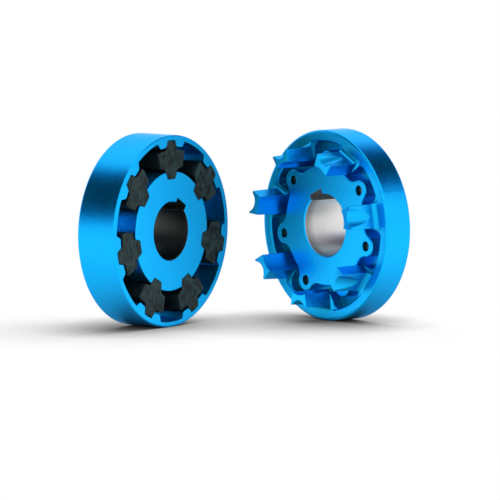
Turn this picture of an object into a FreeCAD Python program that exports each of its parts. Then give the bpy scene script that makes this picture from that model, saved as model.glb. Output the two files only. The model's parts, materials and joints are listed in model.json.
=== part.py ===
import FreeCAD, Part
import math
import os
import re

import Sketcher
from FreeCAD import Vector

# A torsionally flexible claw coupling, taken apart and stood on its rims.
# Every piece is drawn about the shaft axis as local Z, with the working face at z = 0 facing +Z,
# and its placement then turns that axis level. Lengths are in millimetres, angles in degrees.

SIZES = {
    # Both halves
    "element_count": 7,
    "outer_radius": 80,
    "hub_length": 60,
    "bore_chamfer": 1.2,
    "boss_round": 1.5,
    # How far a cut or a joined block runs past the surface it meets
    "run_past": 1,
    # Pocket half: one casting with a rim, a floor and a hub
    "pocket_rim_width": 38,
    "pocket_depth": 28.5,
    "pocket_wall": 4.4,
    "pocket_reach": 25.8,
    "pocket_floor_fillet": 1.5,
    "pocket_edge_round": 0.7,
    "rim_edge_round": 1.4,
    "rim_back_round": 2,
    "pocket_boss_step": 3.8,
    "pocket_boss_fillet": 4,
    "pocket_bore_radius": 24,
    "pocket_key_width": 14,
    "pocket_key_depth": 3.8,
    "pocket_key_turn": -31,
    # Teeth of the rim, a pair to each rubber element
    "tooth_height": 5.4,
    "tooth_tip_angle": 12.1,
    "tooth_root_sink": 2,
    "tooth_root_angle": 14.75,
    "tooth_mouth_half": 7.3,
    "tooth_floor_half": 4.9,
    "tooth_inner_round": 1.5,
    "tooth_outer_round": 1.9,
    # Notches of the hub
    "hub_notch_mouth_half": 8.3,
    "hub_notch_floor_half": 5.3,
    "hub_notch_depth": 6.5,
    "hub_notch_floor_round": 1.4,
    "hub_notch_mouth_round": 1.4,
    "hub_notch_mouth_drop": 0.3,
    "hub_notch_run_out": 4,
    # Rubber elements
    "element_gap": 0.3,
    "element_side_gap": 0.42,
    "element_lobe_round": 1.5,
    "element_corner_round": 1.2,
    "wing_outer_half": 18.3,
    "wing_outer_drop": 4.4,
    "wing_inner_half": 15.3,
    "wing_inner_rise": 3,
    "wing_shoulder_drop": 2.8,
    "wing_shoulder_rise": 1.8,
    # Claw ring: one casting with a rim, a web and the claws
    "ring_width": 26.5,
    "ring_edge_round": 2,
    "ring_rim": 16,
    "web_thickness": 7.5,
    "flange_thickness": 11,
    "ledge_depth": 1.4,
    "gap_rim": 9.4,
    "gap_half_width": 16.5,
    "gap_half_flare": 0.8,
    "gap_corner_round": 6.5,
    "claw_length": 27,
    "claw_outer_inset": 14,
    "claw_outer_slope": 0.8,
    "claw_height": 10.7,
    "claw_inner_slope": 1.5,
    "claw_inner_half": 7.9,
    "claw_outer_half": 9.8,
    "claw_draft_angle": 1,
    "claw_sink": 2.8,
    "claw_root_fillet": 4.2,
    "claw_side_fillet": 2.5,
    "claw_hollow_radius": 18,
    "claw_hollow_depth": 1.8,
    "scoop_radius": 9.3,
    "scoop_depth": 4.7,
    "scoop_tilt": 14.6,
    "scoop_clear": 4,
    # Claw hub: the flange with a lobe in each gap between claws, and its boss
    "flange_gap": 3,
    "flange_edge": 0.8,
    "lobe_radius": 9,
    "lobe_blend": 10,
    "spigot_step": 6.8,
    "spigot_gap": 0.05,
    "claw_boss_step": 5,
    "claw_bore_radius": 26,
    "claw_key_width": 16,
    "claw_key_depth": 4.3,
    # Screws that hold the claw ring to the hub flange, put in from behind
    "screw_circle_step": 3.2,
    "screw_radius": 4,
    "screw_hole_radius": 4.5,
    "thread_gap": 0.05,
    "hole_edge": 0.4,
    "screw_reach": 7.5,
    "head_radius": 6.5,
    "head_height": 8,
    "head_edge": 0.8,
    "hex_across_flats": 6,
    "hex_depth": 4,
    # Set screws that press on the shaft keys
    "set_screw_radius": 4,
    "set_screw_length": 8,
    "set_screw_hex": 4,
    "set_screw_sink": 0.6,
    # How the two halves stand
    "claw_half_across": 115.2,
    "claw_half_forward": 73.9,
    "claw_half_turn": -104.34,
    "claw_half_spin": 23.84,
}

# Radii that follow from the sizes. A formula may name them, and each is then written out in full.
RADII = {
    "pocket_wall_radius": "outer_radius - pocket_wall",
    "pocket_hub_radius": "pocket_wall_radius - pocket_reach",
    "pocket_boss_radius": "pocket_hub_radius - pocket_boss_step",
    "tooth_tip_radius": "pocket_wall_radius - tooth_height",
    "tooth_root_radius": "pocket_wall_radius + tooth_root_sink",
    "hub_notch_floor_radius": "pocket_hub_radius - hub_notch_depth",
    "wing_outer_height": "tooth_tip_radius - wing_outer_drop",
    "wing_shoulder_outer": "tooth_tip_radius - wing_shoulder_drop",
    "wing_inner_height": "pocket_hub_radius + wing_inner_rise",
    "wing_shoulder_inner": "pocket_hub_radius + wing_shoulder_rise",
    "ring_recess_radius": "outer_radius - ring_rim",
    "gap_outer_radius": "outer_radius - gap_rim",
    "claw_tip_outer_radius": "outer_radius - claw_outer_inset",
    "claw_root_outer_radius": "claw_tip_outer_radius + claw_outer_slope",
    "claw_tip_inner_radius": "claw_tip_outer_radius - claw_height",
    "claw_root_inner_radius": "claw_tip_inner_radius - claw_inner_slope",
    "claw_block_radius": "claw_root_outer_radius + 2 * claw_root_fillet",
    "scoop_floor_radius": "claw_tip_outer_radius - scoop_depth",
    "flange_radius": "claw_root_inner_radius - flange_gap",
    "spigot_radius": "flange_radius - spigot_step",
    "claw_boss_radius": "spigot_radius - claw_boss_step",
    "screw_circle_radius": "flange_radius + screw_circle_step",
}

doc = FreeCAD.newDocument("claw_coupling")
sheet = doc.addObject("Spreadsheet::Sheet", "sizes")
for row, (alias, size) in enumerate(SIZES.items(), start=1):
    sheet.set("A%d" % row, alias)
    sheet.set("B%d" % row, str(size))
    sheet.setAlias("B%d" % row, alias)
doc.recompute()


def spell(word):
    """One word of a formula as the sheet knows it."""
    name = word.group()
    if name in RADII:
        return "(%s)" % bound(RADII[name])
    return "sizes." + name if name in SIZES else name


def bound(formula):
    """Write a formula in the sheet's aliases as an expression that other objects can hold."""
    return re.sub(r"[a-z_]+", spell, formula)


def number(formula):
    """Work out a formula in the sheet's aliases."""
    return float(sheet.evalExpression(bound(formula)))


def bind(item, **formulas):
    """Tie properties of an object to formulas in the sheet's aliases."""
    for name, formula in formulas.items():
        item.setExpression(name.replace("__", "."), bound(formula))
    return item


def new_body(name):
    body = doc.addObject("PartDesign::Body", name)
    body.Label = name
    return body


def new_sketch(body, name, role="XY_Plane", lift="0", turn="0"):
    """A sketch on one of the body's own planes, lifted off it and turned in it."""
    sketch = body.newObject("Sketcher::SketchObject", name)
    plane = next(feature for feature in body.Origin.OriginFeatures if feature.Role == role)
    sketch.AttachmentSupport = [(plane, "")]
    sketch.MapMode = "FlatFace"
    sketch.AttachmentOffset = FreeCAD.Placement(Vector(), FreeCAD.Rotation(Vector(0, 0, 1), 0))
    bind(sketch, AttachmentOffset__Base__z=lift, AttachmentOffset__Rotation__Angle=turn)
    return sketch


def pin_point(sketch, geometry, position, across, up):
    """Hold a point of the sketch at two formulas, measured from the sketch's origin."""
    for kind, axis, formula in (("DistanceX", -2, across), ("DistanceY", -1, up)):
        if formula == "0":
            sketch.addConstraint(Sketcher.Constraint("PointOnObject", geometry, position, axis))
        else:
            index = sketch.addConstraint(
                Sketcher.Constraint(kind, -1, 1, geometry, position, number(formula)))
            sketch.setExpression("Constraints[%d]" % index, bound(formula))


def pin_radius(sketch, geometry, formula):
    index = sketch.addConstraint(Sketcher.Constraint("Radius", geometry, number(formula)))
    sketch.setExpression("Constraints[%d]" % index, bound(formula))


def corner_arc(before, corner, after, radius):
    """Tangent points, centre and turning side of the arc that rounds a corner."""
    back = (before - corner).normalize()
    ahead = (after - corner).normalize()
    half = back.getAngle(ahead) / 2
    reach = radius / math.tan(half)
    middle = (back + ahead).normalize()
    centre = corner + middle * (radius / math.sin(half))
    left_turn = (corner - before).cross(after - corner).z > 0
    return corner + back * reach, corner + ahead * reach, centre, left_turn


def outline(sketch, corners):
    """Close an outline through corners (across, up[, radius]), and round those that have a radius."""
    spots = [Vector(number(corner[0]), number(corner[1]), 0) for corner in corners]
    count = len(corners)
    entry, leave, arcs = list(spots), list(spots), {}
    for i, corner in enumerate(corners):
        if len(corner) == 3:
            radius = number(corner[2])
            entry[i], leave[i], centre, left_turn = corner_arc(
                spots[i - 1], spots[i], spots[(i + 1) % count], radius)
            ends = (entry[i], leave[i]) if left_turn else (leave[i], entry[i])
            first, last = (math.atan2(end.y - centre.y, end.x - centre.x) for end in ends)
            circle = Part.Circle(centre, Vector(0, 0, 1), radius)
            arcs[i] = (Part.ArcOfCircle(circle, first, last), 1 if left_turn else 2)
    lines = [sketch.addGeometry(Part.LineSegment(leave[i], entry[(i + 1) % count]), False)
             for i in range(count)]
    for i, corner in enumerate(corners):
        before = lines[i - 1]
        if i not in arcs:
            sketch.addConstraint(Sketcher.Constraint("Coincident", before, 2, lines[i], 1))
            pin_point(sketch, lines[i], 1, corner[0], corner[1])
            continue
        arc = sketch.addGeometry(arcs[i][0], False)
        start = arcs[i][1]
        spot = sketch.addGeometry(Part.Point(spots[i]), True)
        sketch.addConstraint([
            Sketcher.Constraint("PointOnObject", spot, 1, before),
            Sketcher.Constraint("PointOnObject", spot, 1, lines[i]),
            Sketcher.Constraint("Tangent", before, 2, arc, start),
            Sketcher.Constraint("Tangent", arc, 3 - start, lines[i], 1),
        ])
        pin_point(sketch, spot, 1, corner[0], corner[1])
        pin_radius(sketch, arc, corner[2])
    return lines


def mirrored(corners):
    """The same corners on the other side of the upright axis, in turning order."""
    return [("-(%s)" % corner[0],) + tuple(corner[1:]) for corner in reversed(corners)]


def flip(spot):
    """The same point on the other side of the upright axis."""
    return Vector(-spot.x, spot.y, 0)


def angle(spot, middle):
    """Direction from the middle of an arc to one of its ends."""
    return math.atan2(spot.y - middle.y, spot.x - middle.x)


def circle(sketch, radius, across="0", up="0"):
    """A full circle held at a formula for its radius and its centre."""
    spot = Vector(number(across), number(up), 0)
    round_edge = sketch.addGeometry(Part.Circle(spot, Vector(0, 0, 1), number(radius)), False)
    if across == up == "0":
        sketch.addConstraint(Sketcher.Constraint("Coincident", round_edge, 3, -1, 1))
    else:
        pin_point(sketch, round_edge, 3, across, up)
    pin_radius(sketch, round_edge, radius)


def revolve(body, name, corners):
    """Turn a section (radius, height) about the shaft axis."""
    sketch = new_sketch(body, name + "_section", "XZ_Plane")
    outline(sketch, corners)
    feature = body.newObject("PartDesign::Revolution", name)
    feature.Profile = sketch
    feature.ReferenceAxis = (sketch, ["V_Axis"])
    feature.Angle = 360
    return feature


def pad(body, sketch, name, length, down=False):
    feature = body.newObject("PartDesign::Pad", name)
    feature.Profile = sketch
    feature.Reversed = down
    return bind(feature, Length=length)


def pocket(body, sketch, name, length):
    feature = body.newObject("PartDesign::Pocket", name)
    feature.Profile = sketch
    return bind(feature, Length=length)


def ring_of(body, name, features):
    """Repeat features about the shaft axis, once for each element."""
    feature = body.newObject("PartDesign::PolarPattern", name)
    feature.Originals = features
    axis = next(item for item in body.Origin.OriginFeatures if item.Role == "Z_Axis")
    feature.Axis = (axis, [""])
    feature.Angle = 360
    bind(feature, Occurrences="element_count")
    body.Tip = feature
    return feature


def cut_cylinder(body, name, radius, height, spot, lean="0"):
    """Cut a cylinder that starts at a spot above the upright axis and leans towards the shaft."""
    sketch = new_sketch(body, name + "_outline")
    bind(sketch, AttachmentOffset="placement(vector(%s); rotation(vector(1; 0; 0); %s))"
         % ("; ".join(spot), lean))
    circle(sketch, radius)
    feature = pocket(body, sketch, name, height)
    feature.Reversed = True
    return feature


def keyway(body, bore, width, depth, turn="0"):
    """Cut the keyway through the whole bore, from inside the bore to the key's full height."""
    sketch = new_sketch(body, body.Name + "_keyway_outline", turn=turn)
    outline(sketch, [("%s / 2" % width, "%s / 2" % bore),
                     ("%s / 2" % width, "%s + %s" % (bore, depth)),
                     ("-%s / 2" % width, "%s + %s" % (bore, depth)),
                     ("-%s / 2" % width, "%s / 2" % bore)])
    return pocket(body, sketch, body.Name + "_keyway", "hub_length + run_past")


def hexagon(sketch, across_flats):
    """A regular hexagon about the sketch's origin."""
    corners = []
    for step in range(6):
        reach = "%s / (2 * cos(30)) * %s(%d)"
        corners.append((reach % (across_flats, "cos", 60 * step + 30),
                        reach % (across_flats, "sin", 60 * step + 30)))
    outline(sketch, corners)


def set_screw_axis(level, turn):
    """Placement whose Z runs out through the boss over the keyway, at a level along the shaft."""
    return ("placement(vector(0; 0; %s); rotation(vector(0; 0; 1); %s)) * "
            "placement(vector(0; 0; 0); rotation(vector(1; 0; 0); -90))" % (level, turn))


POCKET_SET_LEVEL = "-(pocket_rim_width + hub_length) / 2"
CLAW_SET_LEVEL = "-(ring_width + hub_length) / 2"
HALF_PITCH = "180 / element_count"
CLAW_SPREAD = "(claw_outer_half - claw_inner_half) / (claw_tip_outer_radius - claw_tip_inner_radius)"
CLAW_LEAN = "atan(%s)" % CLAW_SPREAD
CLAW_BLOCK_SPAN = ("flange_radius", "claw_block_radius")
CLAW_HALF_AT = ("(claw_inner_half + " + CLAW_SPREAD + " * (%s - claw_tip_inner_radius)"
                " + (claw_length + (%s)) * tan(claw_draft_angle))")


def set_screw_hole(body, level, turn):
    feature = body.newObject("PartDesign::SubtractiveCylinder", body.Name + "_set_screw_hole")
    return bind(feature, Radius="set_screw_radius + thread_gap", Height="outer_radius",
                Placement=set_screw_axis(level, turn))


# Pocket half
def make_pocket_half():
    body = new_body("pocket_half")
    revolve(body, "pocket_turning", [
        ("pocket_bore_radius + bore_chamfer", "0"),
        ("pocket_bore_radius", "-bore_chamfer"),
        ("pocket_bore_radius", "bore_chamfer - hub_length"),
        ("pocket_bore_radius + bore_chamfer", "-hub_length"),
        ("pocket_boss_radius", "-hub_length", "boss_round"),
        ("pocket_boss_radius", "-pocket_rim_width", "pocket_boss_fillet"),
        ("outer_radius", "-pocket_rim_width", "rim_back_round"),
        ("outer_radius", "0", "rim_edge_round"),
        ("pocket_wall_radius", "0", "pocket_edge_round"),
        ("pocket_wall_radius", "-pocket_depth", "pocket_floor_fillet"),
        ("pocket_hub_radius", "-pocket_depth", "pocket_floor_fillet"),
        ("pocket_hub_radius", "0", "pocket_edge_round"),
    ])
    tip = "tooth_tip_radius / cos(tooth_tip_angle / 2)"
    tooth = [
        ("tooth_floor_half", "pocket_wall_radius + run_past"),
        ("tooth_mouth_half", tip + " * cos(tooth_tip_angle / 2)", "tooth_inner_round"),
        (tip + " * sin(tooth_tip_angle)", tip + " * cos(tooth_tip_angle)", "tooth_outer_round"),
        ("tooth_root_radius * sin(tooth_root_angle)", "tooth_root_radius * cos(tooth_root_angle)"),
    ]
    teeth_sketch = new_sketch(body, "rim_teeth_outline")
    outline(teeth_sketch, tooth)
    outline(teeth_sketch, mirrored(tooth))
    teeth = pad(body, teeth_sketch, "rim_teeth", "pocket_depth + pocket_floor_fillet", down=True)
    notch_sketch = new_sketch(body, "hub_notch_outline")
    run_out = "hub_notch_mouth_half + hub_notch_run_out"
    half_notch = [
        ("hub_notch_floor_half", "hub_notch_floor_radius", "hub_notch_floor_round"),
        ("hub_notch_mouth_half", "pocket_hub_radius - hub_notch_mouth_drop", "hub_notch_mouth_round"),
        (run_out, "pocket_hub_radius + hub_notch_mouth_drop"),
        (run_out, "pocket_hub_radius + pocket_floor_fillet + hub_notch_mouth_drop"),
    ]
    outline(notch_sketch, half_notch + mirrored(half_notch))
    notch = pocket(body, notch_sketch, "hub_notch", "pocket_depth")
    ring_of(body, "pocket_pattern", [teeth, notch])
    keyway(body, "pocket_bore_radius", "pocket_key_width", "pocket_key_depth", "pocket_key_turn")
    set_screw_hole(body, POCKET_SET_LEVEL, "pocket_key_turn")
    return body


# Rubber elements, a lobed block each, held between two rim teeth and a hub notch
def make_element(index):
    body = new_body("rubber_element_%d" % (index + 1))
    rim_slope = "(tooth_mouth_half - tooth_floor_half) / (pocket_wall_radius + run_past - tooth_tip_radius)"
    rim_floor = "tooth_floor_half + %s * run_past" % rim_slope
    hub_slope = ("(hub_notch_mouth_half - hub_notch_floor_half)"
                 " / (hub_notch_depth - hub_notch_mouth_drop)")
    half = [
        ("hub_notch_floor_half - element_gap", "hub_notch_floor_radius + element_gap", "element_lobe_round"),
        ("hub_notch_mouth_half - element_side_gap + %s * wing_shoulder_rise" % hub_slope,
         "wing_shoulder_inner"),
        ("wing_inner_half", "wing_inner_height", "element_corner_round"),
        ("wing_outer_half", "wing_outer_height", "element_corner_round"),
        ("tooth_mouth_half - element_side_gap + %s * wing_shoulder_drop" % rim_slope,
         "wing_shoulder_outer"),
        (rim_floor + " - element_side_gap", "pocket_wall_radius - element_gap", "element_lobe_round"),
    ]
    sketch = new_sketch(body, body.Name + "_outline", lift="pocket_floor_fillet - pocket_depth")
    outline(sketch, half + mirrored(half))
    pad(body, sketch, body.Name + "_block", "pocket_depth - pocket_floor_fillet")
    return body


# Claw ring
def make_claw_ring():
    body = new_body("claw_ring")
    web_back = "-(flange_thickness + web_thickness)"
    revolve(body, "ring_turning", [
        ("claw_root_inner_radius", "-ledge_depth"),
        ("claw_root_inner_radius", "-flange_thickness"),
        ("spigot_radius + spigot_gap", "-flange_thickness"),
        ("spigot_radius + spigot_gap", web_back),
        ("ring_recess_radius", web_back, "ring_edge_round"),
        ("ring_recess_radius", "-ring_width"),
        ("outer_radius", "-ring_width", "ring_edge_round"),
        ("outer_radius", "0", "ring_edge_round"),
        ("gap_outer_radius + ledge_depth", "0"),
        ("gap_outer_radius", "-ledge_depth"),
    ])
    block_sketch = new_sketch(body, "claw_block_outline", lift="-claw_sink")
    inner_half, outer_half = (CLAW_HALF_AT % (radius, "claw_sink") for radius in CLAW_BLOCK_SPAN)
    outline(block_sketch, [
        (inner_half, CLAW_BLOCK_SPAN[0]), (outer_half, CLAW_BLOCK_SPAN[1]),
        ("-(%s)" % outer_half, CLAW_BLOCK_SPAN[1]), ("-(%s)" % inner_half, CLAW_BLOCK_SPAN[0])])
    block = pad(body, block_sketch, "claw_block", "claw_length + 2 * claw_sink")
    bind(block, TaperAngle="-claw_draft_angle")
    flares = [make_claw_flare(body, "right", "-"), make_claw_flare(body, "left", "")]
    side_sketch = new_sketch(body, "claw_side_outline", "YZ_Plane", lift="2 * claw_outer_half")
    outline(side_sketch, [
        ("outer_radius + run_past", "0"),
        ("outer_radius + run_past", "claw_length + claw_sink + run_past"),
        ("spigot_radius", "claw_length + claw_sink + run_past"),
        ("spigot_radius", "-claw_sink - run_past"),
        ("claw_root_inner_radius", "-claw_sink - run_past"),
        ("claw_tip_inner_radius", "claw_length"),
        ("claw_tip_outer_radius", "claw_length"),
        ("claw_root_outer_radius", "0", "claw_root_fillet"),
    ])
    side = pocket(body, side_sketch, "claw_side", "4 * claw_outer_half")
    scoop_axis = "scoop_floor_radius + scoop_radius / cos(scoop_tilt)"
    scoop_level = "(scoop_clear + scoop_radius * sin(scoop_tilt))"
    scoop = cut_cylinder(body, "claw_scoop", "scoop_radius", "2 * claw_length",
                         ("0", "%s + (claw_length - %s) * tan(scoop_tilt)" % (scoop_axis, scoop_level),
                          scoop_level), lean="scoop_tilt")
    hollow_length = "claw_length + flange_thickness + run_past"
    hollow = cut_cylinder(body, "claw_hollow", "claw_hollow_radius", hollow_length,
                          ("0", "claw_tip_inner_radius + claw_hollow_depth - claw_hollow_radius",
                           "-flange_thickness"))
    gap_sketch = new_sketch(body, "claw_gap_outline", lift="claw_side_fillet", turn=HALF_PITCH)
    draw_claw_gap(gap_sketch)
    gap = pocket(body, gap_sketch, "claw_gap", "flange_thickness + claw_side_fillet")
    screw_hole_sketch = new_sketch(body, "ring_screw_hole_outline", lift="-flange_thickness", turn=HALF_PITCH)
    circle(screw_hole_sketch, "screw_hole_radius", up="screw_circle_radius")
    screw_hole = pocket(body, screw_hole_sketch, "ring_screw_hole", "web_thickness + run_past")
    ring_of(body, "claw_pattern", [block] + flares + [side, scoop, hollow, gap, screw_hole])
    return body


def make_claw_flare(body, name, lean):
    """The small fillet where one flank of the claw meets the ledge, run along that leaning flank."""
    sketch = new_sketch(body, "claw_%s_flare_outline" % name, "XZ_Plane")
    bind(sketch, AttachmentOffset="placement(vector(0; 0; 0); rotation(vector(0; 1; 0); %s%s)) * "
         "placement(vector(0; 0; -(%s)); rotation(0; 0; 0))" % (lean, CLAW_LEAN, CLAW_BLOCK_SPAN[0]))
    flank = "(%s) * cos(%s)" % (CLAW_HALF_AT % ("0", "ledge_depth"), CLAW_LEAN)
    corners = [
        (flank + " - run_past", "-2 * ledge_depth"),
        (flank + " + claw_side_fillet + run_past", "-2 * ledge_depth"),
        (flank + " + claw_side_fillet + run_past", "-ledge_depth"),
        (flank, "-ledge_depth", "claw_side_fillet"),
        (flank + " - 2 * claw_side_fillet * tan(claw_draft_angle)", "2 * claw_side_fillet - ledge_depth"),
        (flank + " - run_past", "2 * claw_side_fillet - ledge_depth"),
    ]
    outline(sketch, corners if name == "right" else mirrored(corners))
    return pad(body, sketch, "claw_%s_flare" % name, "claw_block_radius - flange_radius", down=True)


def draw_claw_gap(sketch):
    """Outline of the space between two claws: straight sides, round corners and a round outer edge."""
    outer = number("gap_outer_radius")
    radius = number("gap_corner_round")
    low = Vector(number("gap_half_width"), number("flange_radius"), 0)
    high = Vector(number("gap_half_width + gap_half_flare"), outer, 0)
    along = (high - low).normalize()
    inward = Vector(-along.y, along.x, 0)
    # The corner circle touches the side line from inside and the outer edge from inside
    foot = low + inward * radius
    reach = outer - radius
    step = -foot.dot(along) + math.sqrt(foot.dot(along) ** 2 - foot.dot(foot) + reach ** 2)
    centre = foot + along * step
    touch_side = centre - inward * radius
    touch_rim = centre * (outer / reach)
    up = Vector(0, 0, 1)
    origin = Vector()
    base = sketch.addGeometry(Part.LineSegment(flip(low), low), False)
    right = sketch.addGeometry(Part.LineSegment(low, touch_side), False)
    right_corner = sketch.addGeometry(Part.ArcOfCircle(
        Part.Circle(centre, up, radius), angle(touch_side, centre), angle(touch_rim, centre)), False)
    rim = sketch.addGeometry(Part.ArcOfCircle(
        Part.Circle(origin, up, outer), angle(touch_rim, origin), angle(flip(touch_rim), origin)), False)
    left_corner = sketch.addGeometry(Part.ArcOfCircle(
        Part.Circle(flip(centre), up, radius), angle(flip(touch_rim), flip(centre)),
        angle(flip(touch_side), flip(centre))), False)
    left = sketch.addGeometry(Part.LineSegment(flip(touch_side), flip(low)), False)
    sketch.addConstraint([
        Sketcher.Constraint("Coincident", base, 2, right, 1),
        Sketcher.Constraint("Coincident", left, 2, base, 1),
        Sketcher.Constraint("Tangent", right, 2, right_corner, 1),
        Sketcher.Constraint("Tangent", right_corner, 2, rim, 1),
        Sketcher.Constraint("Tangent", rim, 2, left_corner, 1),
        Sketcher.Constraint("Tangent", left_corner, 2, left, 1),
        Sketcher.Constraint("Coincident", rim, 3, -1, 1),
        Sketcher.Constraint("Equal", right_corner, left_corner),
    ])
    pin_radius(sketch, rim, "gap_outer_radius")
    pin_radius(sketch, right_corner, "gap_corner_round")
    for side, line, position, sign in (("right", right, 1, ""), ("left", left, 2, "-")):
        pin_point(sketch, line, position, sign + "gap_half_width", "flange_radius")
        spot = sketch.addGeometry(Part.Point(high if side == "right" else flip(high)), True)
        sketch.addConstraint(Sketcher.Constraint("PointOnObject", spot, 1, line))
        pin_point(sketch, spot, 1, sign + "(gap_half_width + gap_half_flare)", "gap_outer_radius")


# Claw hub
def make_claw_hub():
    body = new_body("claw_hub")
    web_back = "-(flange_thickness + web_thickness)"
    revolve(body, "hub_turning", [
        ("claw_bore_radius + bore_chamfer", "0"),
        ("claw_bore_radius", "-bore_chamfer"),
        ("claw_bore_radius", "bore_chamfer - hub_length"),
        ("claw_bore_radius + bore_chamfer", "-hub_length"),
        ("claw_boss_radius", "-hub_length", "boss_round"),
        ("claw_boss_radius", web_back, "boss_round"),
        ("spigot_radius", web_back),
        ("spigot_radius", "-flange_thickness"),
        ("flange_radius", "-flange_thickness"),
        ("flange_radius", "0"),
    ])
    lobe_sketch = new_sketch(body, "lobe_outline", turn=HALF_PITCH)
    draw_lobe(lobe_sketch)
    lobe = pad(body, lobe_sketch, "lobe", "flange_thickness", down=True)
    hole_sketch = new_sketch(body, "tapped_hole_outline", turn=HALF_PITCH)
    circle(hole_sketch, "screw_radius + thread_gap", up="screw_circle_radius")
    hole = pocket(body, hole_sketch, "tapped_hole", "flange_thickness + run_past")
    sink_sketch = new_sketch(body, "tapped_hole_edge_outline", turn=HALF_PITCH)
    circle(sink_sketch, "screw_radius + thread_gap + hole_edge", up="screw_circle_radius")
    sink = pocket(body, sink_sketch, "tapped_hole_edge", "hole_edge")
    sink.TaperAngle = -45
    ring_of(body, "lobe_pattern", [lobe, hole, sink])
    doc.recompute()
    chamfer_front(body)
    keyway(body, "claw_bore_radius", "claw_key_width", "claw_key_depth")
    set_screw_hole(body, CLAW_SET_LEVEL, "0")
    return body


def draw_lobe(sketch):
    """Outline of one lobe: a round end about the screw, blended into the flange on both sides."""
    end = Vector(0, number("screw_circle_radius"), 0)
    lobe, blend, base = (number(name) for name in ("lobe_radius", "lobe_blend", "flange_radius"))
    height = ((base + blend) ** 2 + end.y ** 2 - (lobe + blend) ** 2) / (2 * end.y)
    centre = Vector(math.sqrt((base + blend) ** 2 - height ** 2), height, 0)
    touch_lobe = end + (centre - end) * (lobe / (lobe + blend))
    touch_base = centre * (base / (base + blend))
    up = Vector(0, 0, 1)
    round_end = sketch.addGeometry(Part.ArcOfCircle(
        Part.Circle(end, up, lobe), angle(touch_lobe, end), angle(flip(touch_lobe), end)), False)
    right = sketch.addGeometry(Part.ArcOfCircle(
        Part.Circle(centre, up, blend), angle(touch_lobe, centre), angle(touch_base, centre)), False)
    left = sketch.addGeometry(Part.ArcOfCircle(
        Part.Circle(flip(centre), up, blend), angle(flip(touch_base), flip(centre)),
        angle(flip(touch_lobe), flip(centre))), False)
    chord = sketch.addGeometry(Part.LineSegment(touch_base, flip(touch_base)), False)
    guide = sketch.addGeometry(Part.Circle(Vector(), up, base), True)
    sketch.addConstraint([
        Sketcher.Constraint("Coincident", guide, 3, -1, 1),
        Sketcher.Constraint("Tangent", round_end, 1, right, 1),
        Sketcher.Constraint("Tangent", round_end, 2, left, 2),
        Sketcher.Constraint("Equal", right, left),
        Sketcher.Constraint("Tangent", right, 2, guide),
        Sketcher.Constraint("Tangent", left, 1, guide),
        Sketcher.Constraint("Coincident", right, 2, chord, 1),
        Sketcher.Constraint("Coincident", chord, 2, left, 1),
    ])
    pin_radius(sketch, guide, "flange_radius")
    pin_radius(sketch, round_end, "lobe_radius")
    pin_radius(sketch, right, "lobe_blend")
    pin_point(sketch, round_end, 3, "0", "screw_circle_radius")


def chamfer_front(body):
    """Break the outer edge of the flange and its lobes."""
    shape = body.Tip.Shape
    front = [face for face in shape.Faces
             if abs(face.CenterOfMass.z) < 1e-6 and face.Surface.TypeId == "Part::GeomPlane"]
    rim = max(front, key=lambda face: face.Area).OuterWire
    names = ["Edge%d" % (i + 1) for i, edge in enumerate(shape.Edges)
             if any(edge.isSame(other) for other in rim.Edges)]
    plate = body.Tip
    feature = body.newObject("PartDesign::Chamfer", "flange_chamfer")
    feature.Base = (plate, names)
    bind(feature, Size="flange_edge")
    body.Tip = feature
    return feature


# Cap screw of the claw ring, with its axis on local Z and the underside of its head at z = 0
def make_ring_screw(index):
    body = new_body("ring_screw_%d" % (index + 1))
    revolve(body, body.Name + "_turning", [
        ("0", "web_thickness + screw_reach"),
        ("0", "-head_height"),
        ("head_radius - head_edge", "-head_height"),
        ("head_radius", "head_edge - head_height"),
        ("head_radius", "0"),
        ("screw_radius", "0"),
        ("screw_radius", "web_thickness + screw_reach - head_edge"),
        ("screw_radius - head_edge", "web_thickness + screw_reach"),
    ])
    sketch = new_sketch(body, body.Name + "_socket_outline", lift="hex_depth - head_height")
    hexagon(sketch, "hex_across_flats")
    pocket(body, sketch, body.Name + "_socket", "hex_depth + run_past")
    return body


# Set screw with its axis on local Z and its outer end at z = 0
def make_set_screw(name):
    body = new_body(name)
    revolve(body, name + "_turning", [
        ("0", "0"),
        ("0", "-set_screw_length"),
        ("set_screw_radius - head_edge", "-set_screw_length"),
        ("set_screw_radius", "head_edge - set_screw_length"),
        ("set_screw_radius", "-head_edge / 2"),
        ("set_screw_radius - head_edge / 2", "0"),
    ])
    sketch = new_sketch(body, name + "_socket_outline")
    hexagon(sketch, "set_screw_hex")
    pocket(body, sketch, name + "_socket", "set_screw_length / 2")
    return body


# The pair stands on its rims, the pocket half facing forward, with the origin on the floor
# below the middle of the pair
PAIR_RIGHT = ("claw_half_across + (hub_length - boss_round) * sin(-claw_half_turn)"
              " + (claw_boss_radius - boss_round) * abs(cos(claw_half_turn)) + boss_round")
PAIR_FRONT = ("claw_half_forward - (ring_width - ring_edge_round) * cos(claw_half_turn)"
              " + (outer_radius - ring_edge_round) * abs(sin(claw_half_turn)) + ring_edge_round")
SHIFT_X = "(outer_radius - (%s)) / 2" % PAIR_RIGHT
SHIFT_Y = "((%s) - hub_length) / 2" % PAIR_FRONT
POCKET_SPOT = "vector(%s; %s; outer_radius)" % (SHIFT_X, SHIFT_Y)
CLAW_SPOT = ("vector(%s + claw_half_across; %s - claw_half_forward; outer_radius)" % (SHIFT_X, SHIFT_Y))
POCKET_STAND = "placement(%s; rotation(0; 0; 90))" % POCKET_SPOT
CLAW_STAND = ("placement(%s; rotation(claw_half_turn; 0; 90))"
              " * placement(vector(0; 0; 0); rotation(vector(0; 0; 1); claw_half_spin))" % CLAW_SPOT)


def turned(angle):
    return " * placement(vector(0; 0; 0); rotation(vector(0; 0; 1); %s))" % angle


def stand(body, placement):
    """Put a body where it stands in the pair."""
    bind(body, Placement=placement)
    return body


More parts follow.
